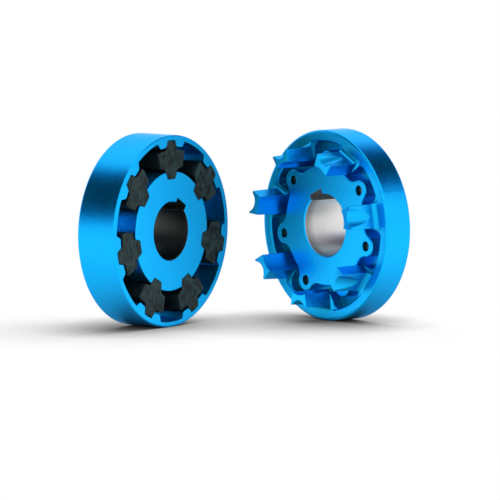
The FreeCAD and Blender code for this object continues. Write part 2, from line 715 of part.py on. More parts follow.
count = int(SIZES["element_count"])
parts = [stand(make_pocket_half(), POCKET_STAND)]
for index in range(count):
    parts.append(stand(make_element(index), POCKET_STAND + turned("%d * 360 / element_count" % index)))
parts.append(stand(make_claw_ring(), CLAW_STAND))
parts.append(stand(make_claw_hub(), CLAW_STAND))
seat = (" * placement(vector(0; screw_circle_radius; -(flange_thickness + web_thickness));"
        " rotation(0; 0; 0))")
for index in range(count):
    parts.append(stand(make_ring_screw(index),
                       CLAW_STAND + turned("(%d + 0.5) * 360 / element_count" % index) + seat))
for name, placement, level, turn, boss in (
        ("pocket_set_screw", POCKET_STAND, POCKET_SET_LEVEL, "pocket_key_turn", "pocket_boss_radius"),
        ("claw_set_screw", CLAW_STAND, CLAW_SET_LEVEL, "0", "claw_boss_radius")):
    sunk = " * placement(vector(0; 0; %s - set_screw_sink); rotation(0; 0; 0))" % boss
    parts.append(stand(make_set_screw(name), placement + " * " + set_screw_axis(level, turn) + sunk))

doc.recompute()

failed = [item.Name for item in doc.Objects if "Invalid" in item.State or "Error" in item.State]
for body in parts:
    if body.Shape.isNull() or not body.Shape.isValid() or len(body.Shape.Solids) != 1:
        failed.append(body.Name)
if failed:
    raise RuntimeError("these did not build: " + ", ".join(failed))

os.makedirs("parts", exist_ok=True)
for body in parts:
    body.Shape.exportStep("parts/%s.step" % body.Label)
    box = body.Shape.BoundBox
    print("%-18s volume %9.0f  x %7.1f %7.1f  y %7.1f %7.1f  z %6.1f %6.1f" % (
        body.Label, body.Shape.Volume, box.XMin, box.XMax, box.YMin, box.YMax, box.ZMin, box.ZMax))
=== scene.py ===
"""A flexible claw coupling, taken apart, with its two halves standing on their rims on a pale floor.

Lengths are in metres and angles in degrees unless a line says otherwise.
"""
import json
import logging
import math
from dataclasses import dataclass, field
from enum import Enum
from typing import Any, Iterable, Optional, Union

import bmesh
import bpy
from mathutils import Matrix, Vector

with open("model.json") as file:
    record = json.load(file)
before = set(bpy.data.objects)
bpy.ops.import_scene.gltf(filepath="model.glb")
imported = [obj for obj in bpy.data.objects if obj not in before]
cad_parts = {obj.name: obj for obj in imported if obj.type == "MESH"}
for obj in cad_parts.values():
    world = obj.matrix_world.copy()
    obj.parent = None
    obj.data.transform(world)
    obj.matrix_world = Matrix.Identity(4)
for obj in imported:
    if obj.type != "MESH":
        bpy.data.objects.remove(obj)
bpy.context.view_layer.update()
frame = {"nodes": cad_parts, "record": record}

log = logging.getLogger("coupling")

Number = Union[float, "Signal"]
Colour = tuple[float, float, float]

UP = Vector((0, 0, 1))
MM_IN_M = 1000
NOISE_MIDDLE = 0.5
BLACK: Colour = (0.0, 0.0, 0.0)
WHITE: Colour = (1.0, 1.0, 1.0)


class Maths(Enum):
    """The operations of the Math node that the finishes need."""

    ADD = "ADD"
    SUBTRACT = "SUBTRACT"
    MULTIPLY = "MULTIPLY"
    POWER = "POWER"
    WITHOUT_SIGN = "ABSOLUTE"
    SINE = "SINE"
    COSINE = "COSINE"
    ANGLE = "ARCTAN2"
    WRAP = "WRAP"
    ROOT = "SQRT"
    SMALLER = "MINIMUM"
    LARGER = "MAXIMUM"


class Signal:
    """A number that changes over a surface: a node's output socket that Python can calculate with."""

    def __init__(self, graph: "Graph", socket: bpy.types.NodeSocket) -> None:
        """Keep the socket and the graph that new Math nodes go into."""
        self.graph = graph
        self.socket = socket

    def _math(self, operation: Maths, *values: Number) -> "Signal":
        """Add one Math node.

        Args:
            operation: what the node does.
            values: its inputs, in order.

        Returns:
            The result as a new signal.
        """
        return self.graph.node("ShaderNodeMath", {"operation": operation.value}, list(values)).value()

    def __add__(self, other: Number) -> "Signal":
        """Add."""
        return self._math(Maths.ADD, self, other)

    __radd__ = __add__

    def __sub__(self, other: Number) -> "Signal":
        """Subtract."""
        return self._math(Maths.SUBTRACT, self, other)

    def __rsub__(self, other: Number) -> "Signal":
        """Subtract this signal from a plain number."""
        return self._math(Maths.SUBTRACT, other, self)

    def __mul__(self, other: Number) -> "Signal":
        """Multiply."""
        return self._math(Maths.MULTIPLY, self, other)

    __rmul__ = __mul__

    def __pow__(self, other: Number) -> "Signal":
        """Raise to a power."""
        return self._math(Maths.POWER, self, other)

    def __abs__(self) -> "Signal":
        """Drop the sign."""
        return self._math(Maths.WITHOUT_SIGN, self)

    def sine(self) -> "Signal":
        """Take the sine of an angle in radians."""
        return self._math(Maths.SINE, self)

    def cosine(self) -> "Signal":
        """Take the cosine of an angle in radians."""
        return self._math(Maths.COSINE, self)

    def angle_from(self, upward: "Signal") -> "Signal":
        """Turn a sideways and an upward distance into the angle from upright, in radians."""
        return self._math(Maths.ANGLE, self, upward)

    def wrapped(self, half: float) -> "Signal":
        """Fold a value into the range from -half to half."""
        return self._math(Maths.WRAP, self, half, -half)

    def root(self) -> "Signal":
        """Take the square root."""
        return self._math(Maths.ROOT, self)

    def least(self, other: Number) -> "Signal":
        """Keep the smaller of two values."""
        return self._math(Maths.SMALLER, self, other)

    def most(self, other: Number) -> "Signal":
        """Keep the larger of two values."""
        return self._math(Maths.LARGER, self, other)

    def below(self, edge: float, soft: float) -> "Signal":
        """Mask what lies under an edge.

        Args:
            edge: the value at which the mask is half way.
            soft: the width over which it fades.

        Returns:
            1 below the edge, 0 above it.
        """
        settings = {"interpolation_type": "SMOOTHSTEP"}
        values = {"Value": self, "From Min": edge - soft / 2, "From Max": edge + soft / 2,
                  "To Min": 1.0, "To Max": 0.0}
        return self.graph.node("ShaderNodeMapRange", settings, values).value("Result")

    def above(self, edge: float, soft: float) -> "Signal":
        """Mask what lies over an edge, with the same arguments as below."""
        return 1.0 - self.below(edge, soft)


class Built:
    """A node that a graph has made, with short ways to its outputs."""

    def __init__(self, graph: "Graph", node: bpy.types.Node) -> None:
        """Keep the node and its graph."""
        self.graph = graph
        self.node = node

    def out(self, name: Union[str, int] = 0) -> bpy.types.NodeSocket:
        """Give an output socket by its name or place."""
        return self.node.outputs[name]

    def value(self, name: Union[str, int] = 0) -> Signal:
        """Give an output as a signal that can be calculated with."""
        return Signal(self.graph, self.out(name))


@dataclass(frozen=True)
class Pattern:
    """A noise pattern: its grains in a metre, how many finer layers lie on them, and how strong those are."""

    scale: float
    detail: float = 3.0
    rough: float = 0.5


class Graph:
    """A node tree that is filled through one method."""

    MIX_FACTOR, MIX_FIRST_COLOUR, MIX_SECOND_COLOUR, MIX_COLOUR_OUT = 0, 6, 7, 2
    BEVEL_SAMPLES = 6

    def __init__(self, tree: bpy.types.NodeTree) -> None:
        """Empty the tree."""
        self.tree = tree
        tree.nodes.clear()

    def node(self, kind: str, settings: Optional[dict[str, Any]] = None,
             values: Union[dict[Any, Any], list[Any], None] = None) -> Built:
        """Add a node.

        Args:
            kind: the node's type name.
            settings: its own properties, which are set before its sockets.
            values: its inputs by name or place: plain values, signals, built nodes or sockets.

        Returns:
            The new node.
        """
        made = self.tree.nodes.new(kind)
        for name, setting in (settings or {}).items():
            setattr(made, name, setting)
        pairs = values.items() if isinstance(values, dict) else enumerate(values or [])
        for name, given in pairs:
            self._feed(made.inputs[name], given)
        return Built(self, made)

    def _feed(self, socket: bpy.types.NodeSocket, given: Any) -> None:
        """Link or set one input.

        Args:
            socket: the input.
            given: a signal, built node or socket to link, or a plain value.
        """
        if isinstance(given, Signal):
            self.tree.links.new(given.socket, socket)
        elif isinstance(given, Built):
            self.tree.links.new(given.out(), socket)
        elif isinstance(given, bpy.types.NodeSocket):
            self.tree.links.new(given, socket)
        elif socket.type == "RGBA" and len(given) == 3:
            socket.default_value = (*given, 1.0)
        else:
            socket.default_value = given

    def noise(self, where: Any, pattern: Pattern) -> Signal:
        """Read a noise pattern, about 0 to 1, at given coordinates."""
        values = {"Vector": where, "Scale": pattern.scale, "Detail": pattern.detail, "Roughness": pattern.rough}
        return self.node("ShaderNodeTexNoise", {}, values).value("Fac")

    def join(self, x: Number, y: Number, z: Number) -> Built:
        """Put three numbers together into a vector or a colour."""
        return self.node("ShaderNodeCombineXYZ", {}, [x, y, z])

    def blend(self, mask: Signal, first: Any, second: Any) -> bpy.types.NodeSocket:
        """Mix two colours.

        Args:
            mask: how much of the second colour shows.
            first: the colour at 0.
            second: the colour at 1.

        Returns:
            The mixed colour.
        """
        values = {self.MIX_FACTOR: mask, self.MIX_FIRST_COLOUR: first, self.MIX_SECOND_COLOUR: second}
        return self.node("ShaderNodeMix", {"data_type": "RGBA"}, values).out(self.MIX_COLOUR_OUT)

    def dot(self, where: Any, direction: Iterable[float]) -> Signal:
        """Measure coordinates along a direction."""
        values = [where, tuple(direction)]
        return self.node("ShaderNodeVectorMath", {"operation": "DOT_PRODUCT"}, values).value("Value")

    def broken_edges(self, radius: float) -> Built:
        """Round sharp edges in the normal, as the sand mould, the rubber mould or a file leaves them."""
        return self.node("ShaderNodeBevel", {"samples": self.BEVEL_SAMPLES}, {"Radius": radius})

    def hollows(self, reach: float, samples: int = 8, towards: Optional[Iterable[float]] = None,
                own: bool = False) -> Signal:
        """Find how open a place is.

        Args:
            reach: how far away another surface still counts.
            samples: rays for each look.
            towards: the direction that is looked in, square to the surface if not given.
            own: whether only the piece itself can close it in.

        Returns:
            1 in the open, towards 0 deep in a hollow or a corner.
        """
        values = {"Distance": reach}
        if towards is not None:
            values["Normal"] = self.join(*towards)
        settings = {"samples": samples, "only_local": own}
        return self.node("ShaderNodeAmbientOcclusion", settings, values).value("AO")

    def bump(self, height: Signal, distance: float, under: Optional[Built] = None) -> Built:
        """Turn a height pattern into a normal.

        Args:
            height: the pattern, 0 to 1.
            distance: how far it rises.
            under: an earlier bump that this one lies on.

        Returns:
            The Bump node.
        """
        values = {"Height": height, "Distance": distance, "Strength": 1.0}
        if under is not None:
            values["Normal"] = under
        return self.node("ShaderNodeBump", {}, values)


def blank(name: str) -> tuple[bpy.types.Material, Graph]:
    """Start a material.

    Args:
        name: the material's name.

    Returns:
        The material, and its empty node graph.
    """
    material = bpy.data.materials.new(name)
    material.use_nodes = True
    return material, Graph(material.node_tree)


def dress(piece: bpy.types.Object, material: bpy.types.Material) -> None:
    """Give a piece one material all over, and report it.

    Args:
        piece: the piece.
        material: its finish.
    """
    piece.data.materials.clear()
    piece.data.materials.append(material)
    log.info("%s: %s", piece.name, material.name)


def placed(name: str, shape: bmesh.types.BMesh) -> bpy.types.Object:
    """Make an object from a finished shape.

    Args:
        name: the object's name.
        shape: its mesh in the making, which is freed.

    Returns:
        The object, at the origin.
    """
    mesh = bpy.data.meshes.new(name)
    shape.to_mesh(mesh)
    shape.free()
    made = bpy.data.objects.new(name, mesh)
    bpy.context.collection.objects.link(made)
    return made


@dataclass(frozen=True)
class Keyway:
    """The groove along a bore: its width, its height above the bore's wall, and its angle.

    The angle is from upright, clockwise as seen from the half's front.
    """

    width: float
    depth: float
    turn: float


@dataclass(frozen=True)
class Shaft:
    """The shaft axis of one half: where its working face is, which way it looks, its bore and its keyway."""

    face: Vector
    looks: Vector
    bore_radius: float
    hub_length: float
    keyway: Keyway

    @classmethod
    def of(cls, mount: str, hub_length: float, keyway: Keyway) -> "Shaft":
        """Read a half's axis from its bore mount.

        Args:
            mount: the bore mount's name.
            hub_length: length from the working face to the hub's back.
            keyway: the bore's keyway.

        Returns:
            The shaft axis.
        """
        found = next(entry for entry in frame["record"]["mounts"] if entry["name"] == mount)
        back = Vector(found["axis"]).normalized()
        face = Vector(found["pos_m"]) - back * hub_length / 2
        return cls(face, -back, found["dims"]["r_mm"] / MM_IN_M, hub_length, keyway)

    @property
    def across(self) -> Vector:
        """Level direction to the right as seen from the front."""
        return UP.cross(self.looks)

    def local(self, right: float, up: float) -> Vector:
        """Place a point given from the centre of the working face."""
        return self.face + self.across * right + UP * up

    def turned(self, angle: float) -> tuple[Vector, Vector]:
        """Find the directions outwards and sideways at an angle.

        Args:
            angle: from upright, clockwise as seen from the front.

        Returns:
            The direction away from the axis, and the one square to it.
        """
        lean = math.radians(angle)
        outward = UP * math.cos(lean) + self.across * math.sin(lean)
        sideways = self.across * math.cos(lean) - UP * math.sin(lean)
        return outward, sideways

    def stand(self) -> Matrix:
        """The turn and shift that bring local (right, up, ahead) to where the half stands."""
        turn = Matrix((self.across, UP, self.looks)).transposed().to_4x4()
        return Matrix.Translation(self.face) @ turn


class ShaftReadings:
    """Signals that say where a surface lies about a shaft axis."""

    def __init__(self, graph: Graph, shaft: Shaft) -> None:
        """Measure Object coordinates about the axis.

        Args:
            graph: the material's node graph.
            shaft: the axis.
        """
        place = graph.node("ShaderNodeTexCoord").out("Object")
        self.place = place
        self.depth = graph.dot(place, shaft.looks) - shaft.looks.dot(shaft.face)
        self.right = graph.dot(place, shaft.across) - shaft.across.dot(shaft.face)
        self.up = graph.dot(place, UP) - shaft.face.z
        self.radius = (self.right * self.right + self.up * self.up).root()
        outward, sideways = shaft.turned(shaft.keyway.turn)
        self.key_out = graph.dot(place, outward) - outward.dot(shaft.face)
        self.key_side = graph.dot(place, sideways) - sideways.dot(shaft.face)


@dataclass(frozen=True)
class PaintedCasting:
    """Satin metallic blue lacquer on cast iron, with painted light and shade in its hollows, and a bare bore.

    The bare steel is painted darker near the bore's mouth and lighter from a set depth on: painted shade and
    painted light along the bore. How open a place must be for half of the lacquer's own colour to show sets where
    the painted light and shade in the hollows ends. The rest goes by first words: the slow mottle and the fine
    flake of the spray, the cast grain and the swell under it, the skin that was turned on a lathe, the marks of
    the boring tool, and the keyway's slot. margin and crisp keep the masks clear of the edges that they end at.
    """

    name: str
    shaft: Shaft
    # the bore's steel colours and where they change: painted shade near the mouth, painted light deeper in
    near_steel_painted_shade: Colour
    far_steel_and_painted_light: Colour
    painted_shading_depth: float
    # the hollow colour and its reach paint light and shade into the casting's own hollows
    hollow_shading_colour: Colour
    hollow_shading_reach: float
    paint: Colour = (0.0, 0.44, 0.94)
    deep: Colour = (0.0, 0.38, 0.87)
    paint_edge: Colour = (0.25, 0.70, 1.0)
    paint_metal: float = 0.97
    paint_rough: float = 0.28
    coat: float = 0.12
    coat_rough: float = 0.25
    # where the painted light and shade in the hollows ends, and how softly it fades
    hollow_shading_edge: float = 0.67
    hollow_shading_fade: float = 0.64
    mottle: Pattern = Pattern(60, 4)
    mottle_rough: float = 0.08
    flake: Pattern = Pattern(3500, 2, 0.7)
    flake_rough: float = 0.06
    cast: Pattern = Pattern(600, 4, 0.65)
    grain: float = 0.00020
    swell: Pattern = Pattern(55, 2)
    swell_height: float = 0.00012
    edge: float = 0.0009
    outer_radius: float = 0.080
    turned_skin: float = 0.0004
    turned_smoothness: float = 0.85
    # how softly the bore's painted shade gives way to its painted light
    painted_shading_fade: float = 0.012
    steel_rough: float = 0.3
    tool_marks: Pattern = Pattern(900, 2)
    tool_run: float = 6.0
    tool_pull: float = 0.2
    tool_shade: float = 0.3
    tool_rough: float = 0.1
    tool_height: float = 0.35
    slot_shade: float = 0.55
    slot_rough: float = 0.2
    slot_roof: float = 0.002
    slot_foot: float = 0.001
    margin: float = 0.0003
    crisp: float = 0.0002

    def make(self) -> bpy.types.Material:
        """Build the material.

        Returns:
            The lacquer, with the bare metal of the bore and the keyway in it.
        """
        material, graph = blank(self.name)
        at = ShaftReadings(graph, self.shaft)
        slot = self._slot(at)
        bare = self._wall(at).most(slot)
        mottle = graph.noise(at.place, self.mottle)
        marks = graph.noise(graph.join(at.depth * self.tool_run, at.radius * self.tool_pull, 0.0), self.tool_marks)
        paint_rough = (self.paint_rough + (mottle - NOISE_MIDDLE) * self.mottle_rough
                       + (graph.noise(at.place, self.flake) - NOISE_MIDDLE) * self.flake_rough)
        bare_rough = self.steel_rough + marks * self.tool_rough + slot * self.slot_rough
        surface = graph.node("ShaderNodeBsdfPrincipled", {}, {
            "Base Color": graph.blend(bare, self._lacquer(graph, mottle), self._steel(graph, at, slot, marks)),
            "Metallic": bare * (1.0 - self.paint_metal) + self.paint_metal,
            "Roughness": paint_rough * (1.0 - bare) + bare_rough * bare,
            "Specular Tint": self.paint_edge,
            "Coat Weight": (1.0 - bare) * self.coat,
            "Coat Roughness": self.coat_rough,
            "Normal": self._relief(graph, at, bare, marks),
        })
        graph.node("ShaderNodeOutputMaterial", {}, [surface])
        return material

    def _lacquer(self, graph: Graph, mottle: Signal) -> bpy.types.NodeSocket:
        """Colour the lacquer.

        Args:
            graph: the material's node graph.
            mottle: the slow unevenness of the spray.

        Returns:
            The colour, which changes to the hollow colour where the casting closes a place in: painted light and
            shade in the hollows.
        """
        # painted light and shade: the lacquer changes to the hollow colour where the casting closes a place in
        unshaded_place = graph.hollows(self.hollow_shading_reach, own=True).above(self.hollow_shading_edge, self.hollow_shading_fade)
        return graph.blend(unshaded_place, self.hollow_shading_colour, graph.blend(mottle, self.deep, self.paint))

    def _steel(self, graph: Graph, at: ShaftReadings, slot: Signal, marks: Signal) -> bpy.types.NodeSocket:
        """Colour the bare metal.

        Args:
            graph: the material's node graph.
            at: readings about the shaft axis.
            slot: the mask of the keyway.
            marks: the marks that the boring tool left.

        Returns:
            The colour, painted darker at the bore's mouth and lighter from a set depth on: painted shade and
            painted light along the bore.
        """
        # painted shade near the bore's mouth and painted light deeper in
        steel = graph.blend(at.depth.above(-self.painted_shading_depth, self.painted_shading_fade), self.far_steel_and_painted_light, self.near_steel_painted_shade)
        steel = graph.blend(marks * self.tool_shade, steel, BLACK)
        return graph.blend(slot, steel, tuple(self.slot_shade * level for level in self.near_steel_painted_shade))

    def _relief(self, graph: Graph, at: ShaftReadings, bare: Signal, marks: Signal) -> Built:
        """Give the surface its grain: sand-cast under paint, smoother where turned, and tool marks in the bore.

        Args:
            graph: the material's node graph.
            at: readings about the shaft axis.
            bare: the mask of bare metal.
            marks: the marks that the boring tool left.

        Returns:
            The normal.
        """
        turned = at.radius.above(self.outer_radius - self.turned_skin, self.turned_skin)
        lift = (graph.noise(at.place, self.cast) * (1.0 - bare) * (1.0 - turned * self.turned_smoothness)
                + marks * bare * self.tool_height)
        swell = graph.noise(at.place, self.swell)
        return graph.bump(lift, self.grain, graph.bump(swell, self.swell_height, graph.broken_edges(self.edge)))

    def _wall(self, at: ShaftReadings) -> Signal:
        """Mask the bore's bare wall, 1 on it and 0 on paint."""
        return at.radius.below(self.shaft.bore_radius + self.margin, self.crisp)

    def _slot(self, at: ShaftReadings) -> Signal:
        """Mask the keyway.

        Args:
            at: readings about the shaft axis.

        Returns:
            1 on the faces that the keyway's cutter left, 0 elsewhere.
        """
        keyway, bore = self.shaft.keyway, self.shaft.bore_radius
        return (abs(at.key_side).below(keyway.width / 2 + self.margin, self.crisp)
                * at.radius.below(bore + keyway.depth + self.slot_roof, self.crisp)
                * at.radius.above(bore + self.crisp, self.crisp)
                * at.key_out.above(0.0, self.slot_foot)
                * at.depth.below(-self.margin, self.crisp)
                * at.depth.above(-self.shaft.hub_length + self.margin, self.crisp))


@dataclass(frozen=True)
class MouldedRubber:
    """Hard black rubber with a dry, slightly fibrous skin, and the ring that the mould's ejector leaves.

    Places that other surfaces close in are darkened towards near black, which is painted shade; lit_edge is how
    open a place is where half of its own colour shows. ring_out is how far the ring's middle lies from the shaft
    axis, and fibre_run pulls the fibres out along Z.
    """

    shaft: Shaft
    element_count: int
    name: str = "moulded_rubber"
    skin: Colour = (0.001, 0.005, 0.006)
    worn: Colour = (0.022, 0.055, 0.057)
    worn_edge: float = 0.56
    worn_fade: float = 0.24
    # near-black colour where other surfaces close a place in: painted shade
    hollow_shading_colour: Colour = (0.0005, 0.002, 0.002)
    hollow_shading_reach: float = 0.03
    lit_edge: float = 0.55
    lit_fade: float = 0.7
    roughness: float = 0.62
    rough_spread: float = 0.3
    gloss: float = 0.16
    fibres: Pattern = Pattern(330, 5, 0.72)
    fibre_run: tuple[float, float, float] = (1.0, 1.0, 0.45)
    fibre_share: float = 0.75
    grain: float = 0.0009
    patches: Pattern = Pattern(110, 3)
    patch_share: float = 0.35
    patch_height: float = 0.0003
    edge: float = 0.0012
    ring_out: float = 0.0675
    ring_radius: float = 0.0026
    ring_width: float = 0.0005
    ring_fade: float = 0.0006
    ring_height: float = 0.0010
    rubbed: Colour = (0.06, 0.09, 0.09)
    rubbed_share: float = 0.55

    def make(self) -> bpy.types.Material:
        """Build the material.

        Returns:
            The rubber of all the elements.
        """
        material, graph = blank(self.name)
        at = ShaftReadings(graph, self.shaft)
        drawn = graph.node("ShaderNodeVectorMath", {"operation": "MULTIPLY"}, [at.place, self.fibre_run])
        fibres = graph.noise(drawn, self.fibres)
        patches = graph.noise(at.place, self.patches)
        wear = (fibres * self.fibre_share + patches * self.patch_share).above(self.worn_edge, self.worn_fade)
        # painted shade: near black in hollows and between the parts
        lit = graph.hollows(self.hollow_shading_reach).above(self.lit_edge, self.lit_fade)
        mark = self._ring_mark(at)
        colour = graph.blend(lit, self.hollow_shading_colour, graph.blend(wear, self.skin, self.worn))
        relief = graph.bump(patches, self.patch_height, graph.broken_edges(self.edge))
        relief = graph.bump(mark, self.ring_height, relief)
        surface = graph.node("ShaderNodeBsdfPrincipled", {}, {
            "Base Color": graph.blend(mark * self.rubbed_share, colour, self.rubbed),
            "Roughness": self.roughness + (fibres - NOISE_MIDDLE) * self.rough_spread,
            "Specular IOR Level": self.gloss,
            "Normal": graph.bump(fibres, self.grain, relief),
        })
        graph.node("ShaderNodeOutputMaterial", {}, [surface])
        return material

    def _ring_mark(self, at: ShaftReadings) -> Signal:
        """Mask the ejector's ring on the front of each element.

        Args:
            at: readings about the shaft axis.

        Returns:
            1 along the ring, 0 elsewhere.
        """
        turn = at.right.angle_from(at.up).wrapped(math.pi / self.element_count)
        ahead = at.radius * turn.cosine() - self.ring_out
        aside = at.radius * turn.sine()
        off_centre = (ahead * ahead + aside * aside).root()
        return abs(off_centre - self.ring_radius).below(self.ring_width, self.ring_fade)


@dataclass(frozen=True)
class BlackenedSteel:
    """Black oxide on turned screws, rubbed brighter in places."""

    name: str = "blackened_steel"
    black: Colour = (0.030, 0.031, 0.034)
    rubbed: Colour = (0.11, 0.11, 0.115)
    rub: Pattern = Pattern(260, 4, 0.6)
    rub_edge: float = 0.55
    rub_fade: float = 0.3
    metal: float = 0.9
    roughness: float = 0.36
    rough_spread: float = 0.15
    grain: Pattern = Pattern(2600, 2)
    grain_height: float = 0.00003

    def make(self) -> bpy.types.Material:
        """Build the material.

        Returns:
            The steel of all the screws.
        """
        material, graph = blank(self.name)
        place = graph.node("ShaderNodeTexCoord").out("Object")
        rub = graph.noise(place, self.rub)
        surface = graph.node("ShaderNodeBsdfPrincipled", {}, {
            "Base Color": graph.blend(rub.above(self.rub_edge, self.rub_fade), self.black, self.rubbed),
            "Metallic": self.metal,
            "Roughness": self.roughness + rub * self.rough_spread,
            "Normal": graph.bump(graph.noise(place, self.grain), self.grain_height),
        })
        graph.node("ShaderNodeOutputMaterial", {}, [surface])
        return material


@dataclass
class CouplingHalf:
    """What both halves have: a hub with its keyway, lacquer over it, and a bore that is bare.

    painted_shading_depth is how deep in the bore the painted shade of the mouth steel gives way to the painted
    light of the bore steel.
    """

    mount: str
    paint_name: str
    hub_length: float
    keyway: Keyway
    # hollow colour and reach: painted light and shade in the hollows; mouth and bore steel: painted shade and
    # painted light along the bore
    hollow_shading_lacquer: Colour
    hollow_shading_reach: float
    mouth_steel_painted_shade: Colour
    bore_steel_and_painted_light: Colour
    painted_shading_depth: float
    shaft: Shaft = field(init=False)

    def __post_init__(self) -> None:
        """Find the half's axis."""
        self.shaft = Shaft.of(self.mount, self.hub_length, self.keyway)

    def _dress_all(self, names: Iterable[str], material: bpy.types.Material) -> None:
        """Give the named pieces of the CAD model one material."""
        for name in names:
            dress(frame["nodes"][name], material)

    def _paint(self) -> bpy.types.Material:
        """Mix the half's lacquer."""
        return PaintedCasting(self.paint_name, self.shaft, self.mouth_steel_painted_shade, self.bore_steel_and_painted_light, self.painted_shading_depth,
                              self.hollow_shading_lacquer, self.hollow_shading_reach).make()


@dataclass
class PocketHalf(CouplingHalf):
    """The half with pockets: one casting, and the rubber elements that sit in it."""

    mount: str = "pocket_bore"
    paint_name: str = "pocket_half_paint"
    hub_length: float = 0.060
    keyway: Keyway = Keyway(width=0.014, depth=0.0038, turn=31.0)
    # lighter lacquer in the hollows: painted light
    hollow_shading_lacquer: Colour = (0.01, 0.62, 0.97)
    hollow_shading_reach: float = 0.030
    # steel painted near black from the mouth, painted shade, and light from 50 mm deep on, a painted highlight
    mouth_steel_painted_shade: Colour = (0.065, 0.067, 0.062)
    bore_steel_and_painted_light: Colour = (0.52, 0.60, 0.62)
    painted_shading_depth: float = 0.050
    element_count: int = 7

    def build(self, steel: bpy.types.Material) -> None:
        """Dress the casting, the rubber elements and the set screw.

        Args:
            steel: the finish of the screws.
        """
        self._dress_all(["pocket_half"], self._paint())
        elements = [f"rubber_element_{number}" for number in range(1, self.element_count + 1)]
        self._dress_all(elements, MouldedRubber(self.shaft, self.element_count).make())
        self._dress_all(["pocket_set_screw"], steel)


@dataclass
class ClawHalf(CouplingHalf):
    """The half with claws: the claw ring, and the hub whose flange holds it by screws from behind."""

    mount: str = "claw_bore"
    paint_name: str = "claw_half_paint"
    hub_length: float = 0.060
    keyway: Keyway = Keyway(width=0.016, depth=0.0043, turn=-23.84)
    # darker, greyer lacquer in the hollows: painted shade
    hollow_shading_lacquer: Colour = (0.0, 0.27, 0.37)
    hollow_shading_reach: float = 0.034
    # steel painted darker for the first 6 mm of the bore: painted shade
    mouth_steel_painted_shade: Colour = (0.42, 0.42, 0.41)
    bore_steel_and_painted_light: Colour = (0.84, 0.83, 0.81)
    painted_shading_depth: float = 0.006
    screw_count: int = 7

    def build(self, steel: bpy.types.Material) -> None:
        """Dress the claw ring, its hub and the screws.

        Args:
            steel: the finish of the screws.
        """
        self._dress_all(["claw_ring", "claw_hub"], self._paint())
        screws = [f"ring_screw_{number}" for number in range(1, self.screw_count + 1)]
        self._dress_all([*screws, "claw_set_screw"], steel)


@dataclass(frozen=True)
class PhotoCamera:
    """The camera that took the photograph, placed from the centre of the pocket half's working face."""

    turn: float = 54.08
    ahead: float = 6.6149
    right_of_face: float = 0.06502
    height: float = 0.7234
    tilt: float = 5.69
    focal_pixels: float = 8003.6
    picture_pixels: float = 500.0
    sensor_mm: float = 36.0
    sight: float = 100.0

    def place(self, shaft: Shaft) -> None:
        """Set up the camera.

        Args:
            shaft: the pocket half's axis, which the camera's place is measured from.
        """
        swing = math.radians(self.turn)
        view = Vector((math.sin(swing), math.cos(swing), 0))
        right = Vector((math.cos(swing), -math.sin(swing), 0))
        spot = shaft.face - view * self.ahead + right * self.right_of_face
        camera = bpy.data.objects.new("photo_camera", bpy.data.cameras.new("photo_camera"))
        bpy.context.collection.objects.link(camera)
        camera.location = (spot.x, spot.y, self.height)
        camera.rotation_euler = (math.radians(90 - self.tilt), 0, -swing)
        camera.data.sensor_width = self.sensor_mm
        camera.data.lens = self.focal_pixels / self.picture_pixels * self.sensor_mm
        camera.data.clip_end = self.sight
        bpy.context.scene.camera = camera


@dataclass(frozen=True)
class DarkPatch:
    """A soft dark place in the world, as a black flag hung far away would make.

    It is black out to its core and gone at its reach, both as angles from its middle.
    """

    azimuth: float
    elevation: float
    core: float
    reach: float

    def mask(self, graph: Graph, way: Any) -> Signal:
        """Find the patch in the world.

        Args:
            graph: the world's node graph.
            way: the direction that is looked in.

        Returns:
            How much light the patch takes, from 0 outside its reach to 1 at its core.
        """
        lift, swing = math.radians(self.elevation), math.radians(self.azimuth)
        middle = (math.cos(lift) * math.cos(swing), math.cos(lift) * math.sin(swing), math.sin(lift))
        inner, outer = math.cos(math.radians(self.core)), math.cos(math.radians(self.reach))
        return graph.dot(way, middle).above((inner + outer) / 2, inner - outer)


@dataclass(frozen=True)
class Card:
    """A card that only reflections see, hung in front of one half, lit unevenly across its face.

    Its light at the middle is level, and changes by rise_right and rise_up in a metre, from least to most.
    """

    name: str
    shaft: Shaft
    ahead: float
    right: float
    up: float
    level: float
    rise_right: float
    rise_up: float
    least: float
    most: float
    side: float = 0.20
    fade: float = 0.03

    def hang(self) -> None:
        """Make the card, shining towards its half and clear from behind."""
        shape = bmesh.new()
        bmesh.ops.create_grid(shape, x_segments=1, y_segments=1, size=self.side / 2)
        bmesh.ops.translate(shape, verts=shape.verts, vec=(self.right, self.up, self.ahead))
        shape.transform(self.shaft.stand())
        bmesh.ops.reverse_faces(shape, faces=shape.faces)
        card = placed(self.name, shape)
        card.visible_camera = card.visible_diffuse = card.visible_shadow = False
        card.visible_transmission = card.visible_volume_scatter = False
        dress(card, self._material())

    def _material(self) -> bpy.types.Material:
        """Build the card's glow.

        Returns:
            The material.
        """
        material, graph = blank(self.name)
        place = graph.node("ShaderNodeTexCoord").out("Object")
        middle = self.shaft.local(self.right, self.up)
        right = graph.dot(place, self.shaft.across) - self.shaft.across.dot(middle)
        up = graph.dot(place, UP) - middle.z
        level = (right * self.rise_right + up * self.rise_up + self.level).most(self.least).least(self.most)
        glow = graph.node("ShaderNodeEmission", {}, {"Color": graph.join(level, level, level), "Strength": 1.0})
        clear = graph.node("ShaderNodeBsdfTransparent")
        lit_half = (self.side - self.fade) / 2
        inside = abs(right).below(lit_half, self.fade) * abs(up).below(lit_half, self.fade)
        behind = graph.node("ShaderNodeNewGeometry").value("Backfacing")
        mixed = graph.node("ShaderNodeMixShader", {}, [(1.0 - inside).most(behind), glow, clear])
        graph.node("ShaderNodeOutputMaterial", {}, [mixed])
        return material


